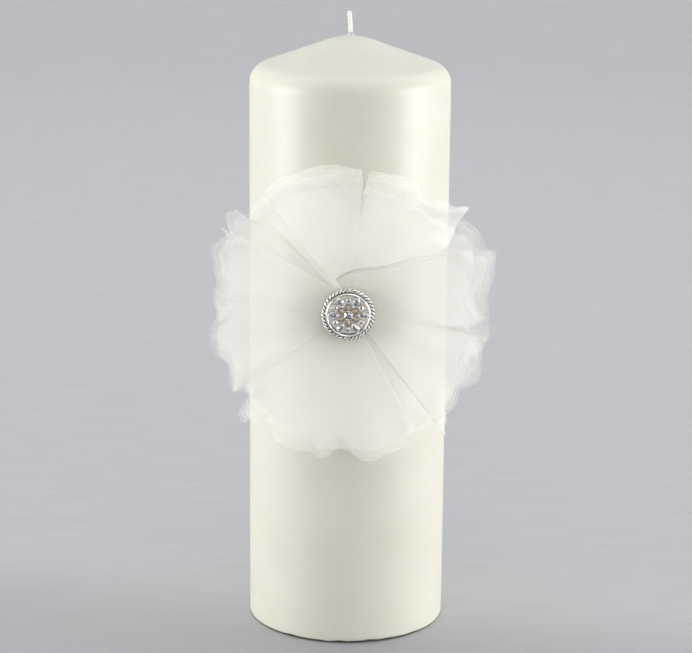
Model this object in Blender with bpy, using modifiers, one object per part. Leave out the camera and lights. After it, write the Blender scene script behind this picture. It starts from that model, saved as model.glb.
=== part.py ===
"""Unity candle: an ivory wax pillar with a pinned tulle flower and a crystal button.

The pillar stands on z = 0 with its axis on the Z axis, and the flower faces -Y.
The ornament's pieces are modelled in their own frame: x to the right, y up and z straight out
of the wax, with its zero on the front line of the pillar.
"""
import math

import bmesh
import bpy
from mathutils import Matrix, Vector

MM = 0.001
GAP = 0.3 * MM  # clearance between touching pieces
MERGE = 0.01 * MM  # weld distance of the turned shapes
HARD_EDGE = math.radians(35)

# wax pillar
PILLAR_RADIUS = 38.1 * MM
SHOULDER_HEIGHT = 217.0 * MM  # where wall and cone would meet without the round
CONE_RISE = 13.9 * MM
CONE_SLOPE = math.atan2(CONE_RISE, PILLAR_RADIUS)
SHOULDER_ROUND = 7.7 * MM
TIP_ROUND = 25.0 * MM
FOOT_ROUND = 2.0 * MM
PILLAR_SEGMENTS = 64

# wick and its metal foot
WICK_RADIUS = 0.75 * MM
WICK_TOP = 238.8 * MM
WICK_LEAN = 0.6 * MM
WICK_BARE = 9.6 * MM
SUSTAINER_RADIUS = 9.0 * MM
SUSTAINER_SHEET = 0.5 * MM
NECK_RADIUS = 1.8 * MM
NECK_HEIGHT = 4.0 * MM
WICK_BORE = WICK_RADIUS + GAP

# ornament: place on the pillar, and heights above its front line
FLOWER_HEIGHT = 132.5 * MM
FELT_RADIUS = 14.0 * MM
FELT_THICKNESS = 1.5 * MM
BACK_LEVEL = 2.6 * MM
FRONT_LEVEL = 3.9 * MM
PETAL_THICKNESS = 1.0 * MM
FRONT_RISE = 3.0 * MM  # how far the front petals stand off the back ones at the rim
PETAL_EYE = 4.0 * MM  # free radius round the button's shank
PETAL_BOW = 2.5  # 1/m: how far the petals curve back round the pillar, per square of x
RIM_REACH = 54.5 * MM
CORNER_REACH = 57.5 * MM
BACK_SHRINK = 0.94  # the back petals' reach against the front petals'
SCALLOP = 0.8 * MM
SCALLOPS_PER_PETAL = 3

# petals as (name, first edge, last edge), degrees anticlockwise from the right
FRONT_PETALS = (
    ("front_petal_top", 44, 124),
    ("front_petal_left", 137, 216),
    ("front_petal_bottom", 227, 300),
    ("front_petal_right", 309, 389),
)
BACK_PETALS = (
    ("back_petal_upper_left", 90, 168),
    ("back_petal_lower_left", 182, 258),
    ("back_petal_lower_right", 267, 342),
    ("back_petal_upper_right", 355, 436),
)

# button, as radii and heights above the pillar's front line
BASE_RADIUS = 9.2 * MM
BASE_LEVEL = 5.3 * MM
BASE_THICKNESS = 0.7 * MM
SHANK_RADIUS = 1.5 * MM
SHANK_EYE_RADIUS = 0.7 * MM
SHANK_EYE_LEVEL = 3.4 * MM
ROPE_RADIUS = 9.15 * MM
ROPE_WIRE = 0.62 * MM
RING_INNER = 7.6 * MM
RING_OUTER = 8.2 * MM
RING_HEIGHT = 1.7 * MM
LINING_RADIUS = 7.25 * MM
LINING_THICKNESS = 0.35 * MM
STAR_THICKNESS = 0.5 * MM
STAR_TIP = 7.25 * MM
STAR_LOBE = 6.5 * MM
STAR_WAIST = 5.7 * MM
STAR_POINTS = 6
INLAY_CENTRE = 2.85 * MM
INLAY_LENGTH = 1.3 * MM  # half lengths
INLAY_WIDTH = 0.9 * MM
INLAY_HEIGHT = 0.55 * MM
CENTRE_STONE = 1.5 * MM
MARQUISE_CENTRE = 5.7 * MM
MARQUISE_LENGTH = 1.75 * MM
MARQUISE_WIDTH = 1.05 * MM
ROUND_STONE = 0.85 * MM
ROUND_CENTRE = 5.5 * MM

# thread and pins
THREAD_RADIUS = 0.25 * MM
THREAD_SPREAD = 2.7 * MM
THREAD_BACK_LEVEL = 0.58 * MM
PIN_RADIUS = 0.35 * MM
PIN_HEAD_RADIUS = 1.0 * MM
PIN_HEAD_LEVEL = 1.45 * MM
PIN_HEAD_THICKNESS = 0.5 * MM
PIN_LENGTH = 20.0 * MM
PIN_SPREAD = 8.0 * MM
PIN_RING = 4.0 * MM  # between the bores and the wall rings above and below them

LINING_LEVEL = BASE_LEVEL + BASE_THICKNESS + GAP
STAR_LEVEL = LINING_LEVEL + LINING_THICKNESS + GAP
STONE_LEVEL = STAR_LEVEL + STAR_THICKNESS + GAP


# ---------- scene, collections and materials ----------

def clear_scene():
    for obj in list(bpy.data.objects):
        bpy.data.objects.remove(obj, do_unlink=True)


def new_collection(name):
    collection = bpy.data.collections.new(name)
    bpy.context.scene.collection.children.link(collection)
    return collection


def material(name, colour, roughness, metallic=0.0):
    made = bpy.data.materials.new(name)
    made.use_nodes = True
    shader = made.node_tree.nodes["Principled BSDF"]
    shader.inputs["Base Color"].default_value = (*colour, 1.0)
    shader.inputs["Roughness"].default_value = roughness
    shader.inputs["Metallic"].default_value = metallic
    made.diffuse_color = (*colour, 1.0)
    return made


clear_scene()
PARTS = new_collection("unity_candle")
CUTTERS = new_collection("cutters")

WAX = material("ivory_wax", (0.90, 0.87, 0.78), 0.45)
COTTON = material("wick_cotton", (0.93, 0.92, 0.89), 0.9)
STEEL = material("steel", (0.62, 0.62, 0.64), 0.35, 1.0)
FELT = material("felt", (0.88, 0.86, 0.80), 0.95)
TULLE = material("tulle", (0.92, 0.91, 0.87), 0.7)
SILVER = material("silver", (0.78, 0.78, 0.80), 0.25, 1.0)
CREAM = material("cream_enamel", (0.84, 0.80, 0.68), 0.5)
CHAMPAGNE = material("champagne_enamel", (0.62, 0.50, 0.36), 0.35)
CRYSTAL = material("crystal", (0.86, 0.88, 0.92), 0.05)
THREAD = material("thread", (0.93, 0.92, 0.88), 0.85)


# ---------- placing and shaping helpers ----------

def ornament_frame():
    """An empty on the pillar's front line; its z axis points straight out of the wax."""
    empty = bpy.data.objects.new("ornament_axis", None)
    empty.location = (0.0, -PILLAR_RADIUS, FLOWER_HEIGHT)
    empty.rotation_euler = (math.radians(90), 0.0, 0.0)
    PARTS.objects.link(empty)
    return empty


ORNAMENT = ornament_frame()


def add_part(name, data, finish, parent=None):
    obj = bpy.data.objects.new(name, data)
    if not data.materials:
        data.materials.append(finish)
    obj.parent = parent
    PARTS.objects.link(obj)
    return obj


def mesh_from(name, bm):
    mesh = bpy.data.meshes.new(name)
    bmesh.ops.recalc_face_normals(bm, faces=bm.faces)
    bm.to_mesh(mesh)
    bm.free()
    return mesh


def turned(name, profile, finish, closed, segments, parent=None):
    """A turned piece: the profile runs down its outer side and is spun about Z."""
    mesh = bpy.data.meshes.new(name)
    edges = [(i, i + 1) for i in range(len(profile) - 1)]
    if closed:
        edges.append((len(profile) - 1, 0))
    mesh.from_pydata([(r, 0.0, z) for r, z in profile], edges, [])
    obj = add_part(name, mesh, finish, parent)
    screw = obj.modifiers.new("turn", "SCREW")
    screw.steps = segments
    screw.render_steps = segments
    screw.use_merge_vertices = True
    screw.merge_threshold = MERGE
    screw.use_smooth_shade = False
    return obj


def arc(centre, radius, start, end, steps):
    """Points on a circle round centre, from start to end in radians."""
    points = []
    for i in range(steps + 1):
        angle = start + (end - start) * i / steps
        points.append((centre[0] + radius * math.cos(angle), centre[1] + radius * math.sin(angle)))
    return points


def cut(obj, cutter):
    modifier = obj.modifiers.new(cutter.name, "BOOLEAN")
    modifier.operation = "DIFFERENCE"
    modifier.object = cutter


def add_cutter(name, mesh, parent):
    cutter = bpy.data.objects.new(name, mesh)
    cutter.hide_render = True
    cutter.display_type = "WIRE"
    cutter.parent = parent
    CUTTERS.objects.link(cutter)
    return cutter


def rod_cutter(name, radius, length, centre, axis="Z"):
    """A round cutter in the ornament's frame, centred on centre, along its Z or X axis."""
    bm = bmesh.new()
    bmesh.ops.create_cone(bm, cap_ends=True, segments=12, radius1=radius, radius2=radius, depth=length)
    if axis == "X":
        bmesh.ops.rotate(bm, verts=bm.verts, matrix=Matrix.Rotation(math.radians(90), 3, "Y"))
    bmesh.ops.translate(bm, verts=bm.verts, vec=Vector(centre))
    return add_cutter(name, mesh_from(name, bm), ORNAMENT)


# ---------- pillar, wick and wick foot ----------

def pillar_profile():
    half_pi = math.pi / 2
    cone_tip = SHOULDER_HEIGHT + CONE_RISE
    tip_centre = (0.0, cone_tip - TIP_ROUND / math.cos(CONE_SLOPE))
    bore_angle = math.acos(WICK_BORE / TIP_ROUND)
    wall_top = SHOULDER_HEIGHT - SHOULDER_ROUND * math.tan((half_pi - CONE_SLOPE) / 2)
    points = arc(tip_centre, TIP_ROUND, bore_angle, half_pi - CONE_SLOPE, 3)
    shoulder_centre = (PILLAR_RADIUS - SHOULDER_ROUND, wall_top)
    points += arc(shoulder_centre, SHOULDER_ROUND, half_pi - CONE_SLOPE, 0.0, 5)
    # These rings keep the triangles round the pins' bores short.
    points += [(PILLAR_RADIUS, FLOWER_HEIGHT + PIN_RING), (PILLAR_RADIUS, FLOWER_HEIGHT - PIN_RING)]
    points += arc((PILLAR_RADIUS - FOOT_ROUND, FOOT_ROUND), FOOT_ROUND, 0.0, -half_pi, 3)
    recess_radius = SUSTAINER_RADIUS + GAP
    recess_height = SUSTAINER_SHEET + GAP
    neck_radius = NECK_RADIUS + GAP
    neck_height = NECK_HEIGHT + GAP
    points += [(recess_radius, 0.0), (recess_radius, recess_height)]
    points += [(neck_radius, recess_height), (neck_radius, neck_height), (WICK_BORE, neck_height)]
    return points


def build_pillar():
    pillar = turned("candle_body", pillar_profile(), WAX, True, PILLAR_SEGMENTS)
    reach = PIN_LENGTH + GAP
    for side, name in ((-1, "pin_bore_left"), (1, "pin_bore_right")):
        bottom = PIN_HEAD_LEVEL - reach
        top = PIN_HEAD_LEVEL + GAP
        centre = (side * PIN_SPREAD, 0.0, (bottom + top) / 2)
        cut(pillar, rod_cutter(name, PIN_RADIUS + GAP, top - bottom, centre))


def build_wick():
    """A cord from the metal foot up through the wax, its bare end leaning a little to the left."""
    curve = bpy.data.curves.new("wick", "CURVE")
    curve.dimensions = "3D"
    curve.bevel_depth = WICK_RADIUS
    curve.bevel_resolution = 2
    curve.use_fill_caps = True
    foot = SUSTAINER_SHEET + GAP
    steps = 5
    points = [(0.0, foot), (0.0, WICK_TOP - WICK_BARE)]
    for i in range(1, steps + 1):
        share = i / steps
        points.append((-WICK_LEAN * share ** 2, WICK_TOP - WICK_BARE * (1 - share)))
    spline = curve.splines.new("POLY")
    spline.points.add(len(points) - 1)
    for point, (x, z) in zip(spline.points, points):
        point.co = (x, 0.0, z, 1.0)
    add_part("wick", curve, COTTON)


def build_sustainer():
    profile = [
        (0.0, SUSTAINER_SHEET),
        (WICK_BORE, SUSTAINER_SHEET),
        (WICK_BORE, NECK_HEIGHT),
        (NECK_RADIUS, NECK_HEIGHT),
        (NECK_RADIUS, SUSTAINER_SHEET),
        (SUSTAINER_RADIUS, SUSTAINER_SHEET),
        (SUSTAINER_RADIUS, 0.0),
        (0.0, 0.0),
    ]
    turned("wick_sustainer", profile, STEEL, False, 24)


# ---------- felt, pins and petals ----------

def curved_sheet(name, columns, rows, place, thickness, finish):
    """A grid whose u and v run from 0 to 1, placed by a rule and thickened outwards."""
    bm = bmesh.new()
    bmesh.ops.create_grid(bm, x_segments=columns, y_segments=rows, size=0.5)
    for vert in bm.verts:
        vert.co = place(vert.co.x + 0.5, vert.co.y + 0.5)
    mesh = mesh_from(name, bm)
    if mesh.polygons[0].normal.z < 0:
        mesh.flip_normals()
    obj = add_part(name, mesh, finish, ORNAMENT)
    solidify = obj.modifiers.new("thickness", "SOLIDIFY")
    solidify.thickness = thickness
    solidify.offset = 1.0
    return obj


def felt_place(u, v):
    """A square turned into a disc, then bent round the pillar."""
    across = 2 * u - 1
    up = 2 * v - 1
    x = FELT_RADIUS * across * math.sqrt(1 - up * up / 2)
    y = FELT_RADIUS * up * math.sqrt(1 - across * across / 2)
    z = math.sqrt((PILLAR_RADIUS + GAP) ** 2 - x * x) - PILLAR_RADIUS
    return Vector((x, y, z))


def build_felt():
    felt = curved_sheet("felt_backing", 8, 8, felt_place, FELT_THICKNESS, FELT)
    middle = (GAP + FELT_THICKNESS) / 2
    for side, word in ((-1, "left"), (1, "right")):
        hole = PIN_RADIUS + GAP
        depth = 4 * FELT_THICKNESS
        cut(felt, rod_cutter("felt_pin_hole_" + word, hole, depth, (side * PIN_SPREAD, 0.0, middle)))
        hole = THREAD_RADIUS + GAP
        cut(felt, rod_cutter("felt_thread_hole_" + word, hole, depth, (side * THREAD_SPREAD, 0.0, middle)))
    bm = bmesh.new()
    bmesh.ops.create_cube(bm, size=1.0)
    groove_half = THREAD_RADIUS + GAP
    groove_top = THREAD_BACK_LEVEL + groove_half
    size = Vector((2 * (THREAD_SPREAD + groove_half), 2 * groove_half, 2 * groove_top))
    bmesh.ops.scale(bm, verts=bm.verts, vec=size)
    cut(felt, add_cutter("felt_thread_groove", mesh_from("felt_thread_groove", bm), ORNAMENT))


def build_pins():
    head_top = PIN_HEAD_LEVEL + PIN_HEAD_THICKNESS
    tip = PIN_HEAD_LEVEL - PIN_LENGTH
    taper = tip + 3 * PIN_RADIUS
    profile = [
        (0.0, head_top),
        (PIN_HEAD_RADIUS, head_top),
        (PIN_HEAD_RADIUS, PIN_HEAD_LEVEL),
        (PIN_RADIUS, PIN_HEAD_LEVEL),
        (PIN_RADIUS, taper),
        (0.0, tip),
    ]
    for side, name in ((-1, "ornament_pin_left"), (1, "ornament_pin_right")):
        pin = turned(name, profile, STEEL, False, 12, ORNAMENT)
        pin.location = (side * PIN_SPREAD, 0.0, 0.0)


def build_petal(name, first, last, level, rise, reach_scale):
    """A fan of folded tulle: straight fold edges, longest at its two corners, with a scalloped rim."""
    start = math.radians(first)
    span = math.radians(last - first)

    def place(u, v):
        corner = abs(2 * u - 1) ** 4
        reach = RIM_REACH + (CORNER_REACH - RIM_REACH) * corner
        reach += SCALLOP * math.cos(2 * math.pi * SCALLOPS_PER_PETAL * u) * (1 - corner)
        radius = PETAL_EYE + (reach * reach_scale - PETAL_EYE) * v
        angle = start + span * u
        x = radius * math.cos(angle)
        y = radius * math.sin(angle)
        return Vector((x, y, level + rise * v * v - PETAL_BOW * x * x))

    curved_sheet(name, 12, 3, place, PETAL_THICKNESS, TULLE)


def build_petals():
    for name, first, last in FRONT_PETALS:
        build_petal(name, first, last, FRONT_LEVEL, FRONT_RISE, 1.0)
    for name, first, last in BACK_PETALS:
        build_petal(name, first, last, BACK_LEVEL, 0.0, BACK_SHRINK)


# ---------- button ----------

def build_button_base():
    """A round plate with a shank behind it and a cross hole for the thread."""
    shank_end = GAP + FELT_THICKNESS + GAP
    plate_top = BASE_LEVEL + BASE_THICKNESS
    profile = [
        (0.0, plate_top),
        (BASE_RADIUS, plate_top),
        (BASE_RADIUS, BASE_LEVEL),
        (SHANK_RADIUS, BASE_LEVEL),
        (SHANK_RADIUS, shank_end),
        (0.0, shank_end),
    ]
    base = turned("button_base", profile, SILVER, False, 32, ORNAMENT)
    eye = rod_cutter("shank_eye", SHANK_EYE_RADIUS, 4 * SHANK_RADIUS, (0.0, 0.0, SHANK_EYE_LEVEL), "X")
    cut(base, eye)


def build_thread():
    """A closed loop through the shank's eye and through the felt."""
    curve = bpy.data.curves.new("shank_thread", "CURVE")
    curve.dimensions = "3D"
    curve.bevel_depth = THREAD_RADIUS
    curve.bevel_resolution = 1
    corner = 0.5 * MM
    x = THREAD_SPREAD - corner
    low = THREAD_BACK_LEVEL + corner
    high = SHANK_EYE_LEVEL - corner
    quarter = math.pi / 2
    points = arc((x, low), corner, -quarter, 0.0, 2)
    points += arc((x, high), corner, 0.0, quarter, 2)
    points += arc((-x, high), corner, quarter, 2 * quarter, 2)
    points += arc((-x, low), corner, 2 * quarter, 3 * quarter, 2)
    spline = curve.splines.new("POLY")
    spline.points.add(len(points) - 1)
    spline.use_cyclic_u = True
    for point, (across, out) in zip(spline.points, points):
        point.co = (across, 0.0, out, 1.0)
    add_part("shank_thread", curve, THREAD, ORNAMENT)


def build_rope_border():
    level = BASE_LEVEL + BASE_THICKNESS + GAP + ROPE_WIRE
    bpy.ops.mesh.primitive_torus_add(
        major_segments=40, minor_segments=6, major_radius=ROPE_RADIUS, minor_radius=ROPE_WIRE
    )
    torus = bpy.context.object
    mesh = torus.data
    bpy.data.objects.remove(torus, do_unlink=True)
    rope = add_part("rope_border", mesh, SILVER, ORNAMENT)
    rope.location = (0.0, 0.0, level)


def build_inner_ring():
    low = LINING_LEVEL
    high = low + RING_HEIGHT
    crown = (RING_INNER + RING_OUTER) / 2
    edge = 0.2 * MM
    profile = [
        (crown, high),
        (RING_OUTER, high - edge),
        (RING_OUTER, low),
        (RING_INNER, low),
        (RING_INNER, high - edge),
    ]
    turned("inner_ring", profile, SILVER, True, 40, ORNAMENT)


def build_lining():
    high = LINING_LEVEL + LINING_THICKNESS
    profile = [(0.0, high), (LINING_RADIUS, high), (LINING_RADIUS, LINING_LEVEL), (0.0, LINING_LEVEL)]
    turned("cream_lining", profile, CREAM, False, 32, ORNAMENT)


def star_outline():
    """Six pointed arms with a rounded lobe between each pair."""
    points = []
    step = 2 * math.pi / STAR_POINTS
    for arm in range(STAR_POINTS):
        for share, radius in ((0.0, STAR_TIP), (0.22, STAR_WAIST), (0.4, STAR_LOBE), (0.6, STAR_LOBE),
                              (0.78, STAR_WAIST)):
            angle = step * (arm + share)
            points.append((radius * math.cos(angle), radius * math.sin(angle)))
    return points


def window_outline(angle):
    """An oval window for one inlay, its long side along the radius."""
    points = []
    steps = 10
    for i in range(steps):
        turn = 2 * math.pi * i / steps
        along = INLAY_CENTRE + (INLAY_LENGTH + GAP) * math.cos(turn)
        across = (INLAY_WIDTH + GAP) * math.sin(turn)
        x = along * math.cos(angle) - across * math.sin(angle)
        y = along * math.sin(angle) + across * math.cos(angle)
        points.append((x, y))
    return points


def between_arms(index):
    return 2 * math.pi * (index + 0.5) / STAR_POINTS


def build_star():
    curve = bpy.data.curves.new("star_setting", "CURVE")
    curve.dimensions = "2D"
    curve.fill_mode = "BOTH"
    curve.extrude = STAR_THICKNESS / 2
    outlines = [star_outline()]
    outlines += [window_outline(between_arms(i)) for i in range(STAR_POINTS)]
    for outline in outlines:
        spline = curve.splines.new("POLY")
        spline.points.add(len(outline) - 1)
        spline.use_cyclic_u = True
        for point, (x, y) in zip(spline.points, outline):
            point.co = (x, y, 0.0, 1.0)
    star = add_part("star_setting", curve, SILVER, ORNAMENT)
    star.location = (0.0, 0.0, STAR_LEVEL + STAR_THICKNESS / 2)


def build_inlays():
    """Six low champagne cabochons, one in each window of the star."""
    bm = bmesh.new()
    bmesh.ops.create_uvsphere(bm, u_segments=10, v_segments=5, radius=1.0)
    bmesh.ops.scale(bm, verts=bm.verts, vec=Vector((INLAY_LENGTH, INLAY_WIDTH, INLAY_HEIGHT)))
    mesh = mesh_from("champagne_inlay", bm)
    level = STAR_LEVEL + INLAY_HEIGHT
    for i in range(STAR_POINTS):
        angle = between_arms(i)
        inlay = add_part("champagne_inlay_%d" % (i + 1), mesh, CHAMPAGNE, ORNAMENT)
        inlay.location = (INLAY_CENTRE * math.cos(angle), INLAY_CENTRE * math.sin(angle), level)
        inlay.rotation_euler = (0.0, 0.0, angle)


def stone_mesh(name, segments, half_length, half_width, height):
    """A cut stone: a straight-sided crown that narrows to a flat table."""
    bm = bmesh.new()
    bmesh.ops.create_cone(bm, cap_ends=True, segments=segments, radius1=1.0, radius2=0.55, depth=1.0)
    bmesh.ops.scale(bm, verts=bm.verts, vec=Vector((half_length, half_width, height)))
    bmesh.ops.translate(bm, verts=bm.verts, vec=Vector((0.0, 0.0, height / 2)))
    return mesh_from(name, bm)


def build_stones():
    centre = stone_mesh("centre_stone", 12, CENTRE_STONE, CENTRE_STONE, CENTRE_STONE * 0.8)
    add_part("centre_stone", centre, CRYSTAL, ORNAMENT).location = (0.0, 0.0, STONE_LEVEL)
    marquise = stone_mesh("marquise_stone", 8, MARQUISE_LENGTH, MARQUISE_WIDTH, MARQUISE_WIDTH)
    small = stone_mesh("round_stone", 8, ROUND_STONE, ROUND_STONE, ROUND_STONE)
    for i in range(STAR_POINTS):
        angle = 2 * math.pi * i / STAR_POINTS
        stone = add_part("marquise_stone_%d" % (i + 1), marquise, CRYSTAL, ORNAMENT)
        stone.location = (MARQUISE_CENTRE * math.cos(angle), MARQUISE_CENTRE * math.sin(angle), STONE_LEVEL)
        stone.rotation_euler = (0.0, 0.0, angle)
        angle = between_arms(i)
        stone = add_part("round_stone_%d" % (i + 1), small, CRYSTAL, ORNAMENT)
        stone.location = (ROUND_CENTRE * math.cos(angle), ROUND_CENTRE * math.sin(angle), STONE_LEVEL)
        stone.rotation_euler = (0.0, 0.0, angle)


def shade_round_pieces():
    """Every piece but the cut stones: modifiers applied, round faces smooth, hard edges kept."""
    depsgraph = bpy.context.evaluated_depsgraph_get()
    for obj in PARTS.objects:
        if obj.type != "MESH" or obj.data.materials[0] == CRYSTAL:
            continue
        if obj.modifiers:
            obj.data = bpy.data.meshes.new_from_object(obj.evaluated_get(depsgraph), depsgraph=depsgraph)
            obj.modifiers.clear()
        obj.data.shade_smooth()
        obj.data.set_sharp_from_angle(angle=HARD_EDGE)


def main():
    build_pillar()
    build_wick()
    build_sustainer()
    build_felt()
    build_pins()
    build_petals()
    build_button_base()
    build_thread()
    build_rope_border()
    build_inner_ring()
    build_lining()
    build_star()
    build_inlays()
    build_stones()
    shade_round_pieces()


main()
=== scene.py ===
"""The unity candle's looks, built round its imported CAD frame.

Shapes are worked out in millimetres, and `on_candle` and `on_flower` turn them into the frame's metres.
The flower's own axes are x right, y up and z out of the wax, from the middle of its button.
"""

import math

import bpy
import numpy as np
from mathutils import Matrix, Vector, noise


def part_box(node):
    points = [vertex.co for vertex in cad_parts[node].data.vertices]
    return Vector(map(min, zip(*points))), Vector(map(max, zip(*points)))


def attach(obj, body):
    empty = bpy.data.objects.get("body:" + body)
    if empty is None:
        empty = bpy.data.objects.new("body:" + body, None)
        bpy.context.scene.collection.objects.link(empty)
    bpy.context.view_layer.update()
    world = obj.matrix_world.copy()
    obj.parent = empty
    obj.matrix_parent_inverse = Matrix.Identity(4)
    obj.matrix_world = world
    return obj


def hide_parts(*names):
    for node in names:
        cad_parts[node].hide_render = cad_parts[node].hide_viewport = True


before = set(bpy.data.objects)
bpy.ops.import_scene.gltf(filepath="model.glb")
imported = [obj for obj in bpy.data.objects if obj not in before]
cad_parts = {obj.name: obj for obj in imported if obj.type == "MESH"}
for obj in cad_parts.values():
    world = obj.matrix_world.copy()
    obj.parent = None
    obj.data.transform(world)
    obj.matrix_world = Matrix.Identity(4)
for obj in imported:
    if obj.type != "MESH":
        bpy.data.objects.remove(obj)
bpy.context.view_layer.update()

MM = 0.001
wax_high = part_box("candle_body")[1]
rope_low, rope_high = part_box("rope_border")
WAX_RADIUS = wax_high.x / MM
BUTTON_HEIGHT = (rope_low.z + rope_high.z) / 2 / MM


# ---------------------------------------------------------------- placing and making meshes


def on_candle(points):
    """Millimetres to the frame's metres."""
    return np.asarray(points, float) * MM


def on_flower(points):
    """The flower's own axes to the frame's metres."""
    x, y, z = np.asarray(points, float).T
    return np.stack([x, -(WAX_RADIUS + z), BUTTON_HEIGHT + y], axis=1) * MM


def flower_box(node):
    """A CAD node's lowest and highest corners in the flower's own axes."""
    low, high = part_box(node)
    low_corner = Vector((low.x, low.z - BUTTON_HEIGHT * MM, -high.y - WAX_RADIUS * MM)) / MM
    high_corner = Vector((high.x, high.z - BUTTON_HEIGHT * MM, -low.y - WAX_RADIUS * MM)) / MM
    return low_corner, high_corner


def grid_faces(rows, columns, wrap_rows=False, wrap_columns=False):
    """Quads between the vertices of a grid that is listed row by row."""
    faces = []
    for i in range(rows if wrap_rows else rows - 1):
        for j in range(columns if wrap_columns else columns - 1):
            right = (j + 1) % columns
            below = (i + 1) % rows
            above = i * columns
            under = below * columns
            faces.append((above + j, above + right, under + right, under + j))
    return faces


def add_piece(name, points, faces, material, body, replaces=(), smooth=True):
    """A mesh that rides a body of the frame and stands for the CAD nodes that it replaces."""
    mesh = bpy.data.meshes.new(name)
    mesh.from_pydata([tuple(point) for point in points], [], [tuple(face) for face in faces])
    mesh.update()
    mesh.materials.append(material)
    if smooth:
        mesh.shade_smooth()
    piece = bpy.data.objects.new(name, mesh)
    bpy.context.scene.collection.objects.link(piece)
    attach(piece, body)
    if replaces:
        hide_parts(*replaces)
    return piece


def add_attribute(piece, name, values, domain="POINT"):
    attribute = piece.data.attributes.new(name, "FLOAT", domain)
    attribute.data.foreach_set("value", np.asarray(values, np.float32).ravel())


def add_vectors(piece, name, vectors):
    attribute = piece.data.attributes.new(name, "FLOAT_VECTOR", "POINT")
    attribute.data.foreach_set("vector", np.asarray(vectors, np.float32).ravel())


def apply_modifiers(piece):
    """Keeps what the modifiers make as the piece's own mesh."""
    evaluated = piece.evaluated_get(bpy.context.evaluated_depsgraph_get())
    mesh = bpy.data.meshes.new_from_object(evaluated)
    piece.modifiers.clear()
    piece.data = mesh


def arc(centre, radius, start, end, steps):
    """Points (radius, height) on an arc, angles in radians from the radius axis."""
    angles = [start + (end - start) * i / steps for i in range(steps + 1)]
    return [(centre[0] + radius * math.cos(a), centre[1] + radius * math.sin(a)) for a in angles]


def lathe(profile, sides):
    """A closed profile of (radius, height) points turned about the z axis."""
    points = []
    for i in range(sides):
        angle = math.tau * i / sides
        points += [(r * math.cos(angle), r * math.sin(angle), z) for r, z in profile]
    return np.array(points), grid_faces(sides, len(profile), True, True)


def tube(path, radii, sides, closed=False):
    """Rings of vertices round a path. Each ring's normal is carried on from the one before it."""
    path = np.asarray(path, float)
    ahead = np.roll(path, -1, 0) - np.roll(path, 1, 0)
    if not closed:
        ahead[0] = path[1] - path[0]
        ahead[-1] = path[-1] - path[-2]
    ahead /= np.linalg.norm(ahead, axis=1)[:, None]
    normal = np.cross(ahead[0], (0.3, 0.5, 0.8))
    angles = np.arange(sides) * math.tau / sides
    points = []
    for centre, along, radius in zip(path, ahead, radii):
        normal = normal - along * normal.dot(along)
        normal /= np.linalg.norm(normal)
        across = np.cross(along, normal)
        ring = np.outer(np.cos(angles), normal) + np.outer(np.sin(angles), across)
        points.append(centre + radius * ring)
    faces = grid_faces(len(path), sides, closed, True)
    if not closed:
        last = (len(path) - 1) * sides
        faces += [tuple(reversed(range(sides))), tuple(range(last, last + sides))]
    return np.concatenate(points), faces


def joined(parts):
    """One list of points and faces from several."""
    points, faces, start = [], [], 0
    for part_points, part_faces in parts:
        points.append(np.asarray(part_points, float))
        faces += [tuple(start + i for i in face) for face in part_faces]
        start += len(part_points)
    return np.concatenate(points), faces


# ---------------------------------------------------------------- node materials


class Surface:
    """A material, with one short call for each node that it is made of."""

    def __init__(self, name):
        self.material = bpy.data.materials.new(name)
        self.material.use_nodes = True
        self.tree = self.material.node_tree
        self.tree.nodes.clear()
        self.output = self.tree.nodes.new("ShaderNodeOutputMaterial")

    def node(self, kind, inputs=None, **settings):
        made = self.tree.nodes.new("ShaderNode" + kind)
        for key, value in settings.items():
            setattr(made, key, value)
        for key, value in (inputs or {}).items():
            if isinstance(value, bpy.types.NodeSocket):
                self.tree.links.new(value, made.inputs[key])
            else:
                made.inputs[key].default_value = value
        return made

    def place(self):
        return self.node("TexCoord").outputs["Object"]

    def attribute(self, name, output="Fac"):
        return self.node("Attribute", attribute_name=name).outputs[output]

    def noise(self, scale, detail=3.0, where=None, roughness=0.5):
        inputs = {"Vector": where or self.place(), "Scale": scale, "Detail": detail, "Roughness": roughness}
        return self.node("TexNoise", inputs).outputs["Fac"]

    def math(self, operation, first, second=0.0, third=0.0):
        inputs = {0: first, 1: second, 2: third}
        return self.node("Math", inputs, operation=operation).outputs[0]

    def ramp(self, value, low, high, from_low=0.0, from_high=1.0, smooth=True):
        """value taken from one range to another, and kept inside it."""
        inputs = {"Value": value, "From Min": from_low, "From Max": from_high, "To Min": low, "To Max": high}
        kind = "SMOOTHSTEP" if smooth else "LINEAR"
        return self.node("MapRange", inputs, interpolation_type=kind).outputs["Result"]

    def mix(self, share, first, second):
        made = self.node("Mix", data_type="RGBA")
        for index, value in ((0, share), (6, first), (7, second)):
            if isinstance(value, bpy.types.NodeSocket):
                self.tree.links.new(value, made.inputs[index])
            else:
                made.inputs[index].default_value = value
        return made.outputs[2]

    def bump(self, height, strength, distance):
        inputs = {"Height": height, "Strength": strength, "Distance": distance}
        return self.node("Bump", inputs).outputs["Normal"]

    def principled(self, inputs):
        return self.node("BsdfPrincipled", inputs).outputs["BSDF"]

    def done(self, shader):
        self.tree.links.new(shader, self.output.inputs["Surface"])
        return self.material


def rgb(red, green, blue):
    return (red, green, blue, 1.0)


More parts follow.
